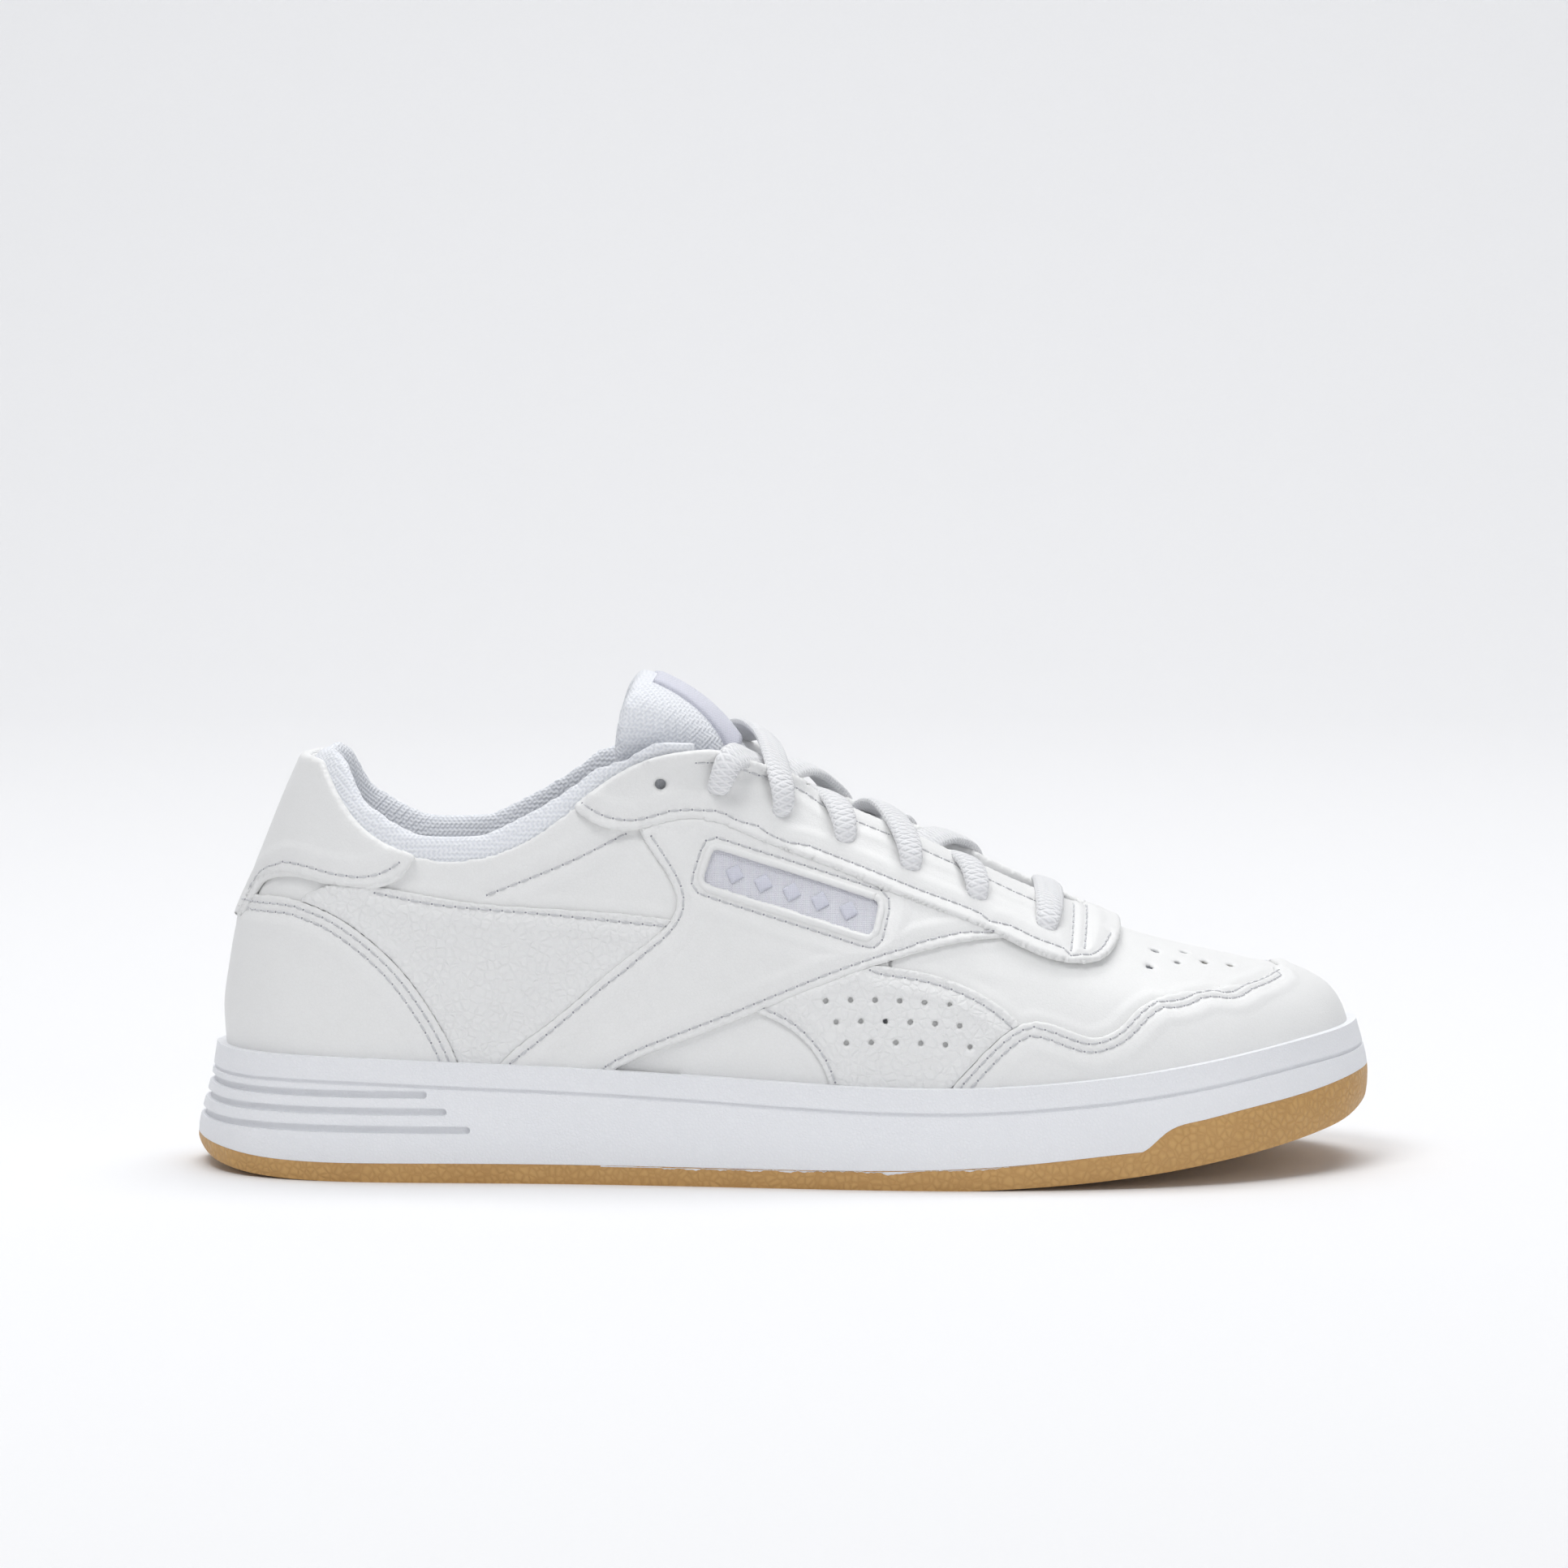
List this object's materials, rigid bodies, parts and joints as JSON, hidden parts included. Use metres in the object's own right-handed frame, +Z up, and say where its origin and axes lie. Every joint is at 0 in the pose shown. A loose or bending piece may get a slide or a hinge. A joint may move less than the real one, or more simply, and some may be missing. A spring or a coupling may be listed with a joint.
{
  "type": "court shoe",
  "caption": "Low-cut lace-up leather court shoe for the right foot, with padded collar and tongue, cupped white rubber sole and gum rubber outsole.",
  "frame": {"origin": "on the ground under the middle of the sole's length, on the sole's centre line", "axes": "+X towards the toe, +Z up, -Y towards the outer side of the foot"},
  "size_m": [0.3001, 0.1108, 0.1269],
  "materials": {
    "smooth_leather": "smooth, softly glossy",
    "grain_leather": "tumbled grain, satin",
    "white_rubber": "fine pebbled, satin",
    "gum_rubber": "pebbled, satin",
    "mesh_textile": "knitted mesh, matt",
    "lining_textile": "woven, matt",
    "label_textile": "satin weave",
    "foam": "open foam, matt",
    "sole_foam": "closed-cell foam, matt",
    "board": "fibre board, matt",
    "stiffener": "thermoplastic sheet, matt",
    "lace_textile": "woven, matt",
    "aglet": "clear film, glossy"
  },
  "bodies": {
    "shoe": {"vamp": "smooth_leather", "quarter_lateral": "smooth_leather", "quarter_medial": "smooth_leather", "eyestay": "smooth_leather", "heel_tab": "smooth_leather", "toe_cap": "smooth_leather", "heel_overlay": "smooth_leather", "saddle_lateral": "smooth_leather", "saddle_medial": "smooth_leather", "front_panel_lateral": "grain_leather", "front_panel_medial": "grain_leather", "rear_panel_lateral": "grain_leather", "rear_panel_medial": "grain_leather", "cupsole": "white_rubber", "outsole": "gum_rubber", "collar_lining": "mesh_textile", "vamp_lining": "lining_textile", "quarter_lining": "lining_textile", "interlining_lateral": "lining_textile", "interlining_medial": "lining_textile", "eyestay_reinforcement": "lining_textile", "window_label_lateral": "label_textile", "window_label_medial": "label_textile", "collar_foam": "foam", "foam_wedge": "sole_foam", "insole_board": "board", "toe_puff": "stiffener", "heel_counter": "stiffener", "lace": "lace_textile", "lace_aglet_medial": "aglet", "lace_aglet_lateral": "aglet"},
    "tongue": {"tongue_face": "mesh_textile", "tongue_foam": "foam", "tongue_lining": "mesh_textile", "tongue_label": "label_textile"},
    "sockliner": {"sockliner_foam": "foam", "sockliner_cover": "mesh_textile"}
  },
  "joints": [
    {"name": "tongue_tilt", "type": "hinge", "parent": "shoe", "child": "tongue", "pos_m": [0.081, 0, 0.052], "axis": [0, -1, 0], "range_deg": [0, 4.5], "stiffness_Nm_per_rad": 0.1, "springref_deg": -11.46},
    {"name": "sockliner_lift", "type": "hinge", "parent": "shoe", "child": "sockliner", "pos_m": [0.1396, 0, 0.0265], "axis": [0, 1, 0], "range_deg": [0, 4]}
  ]
}
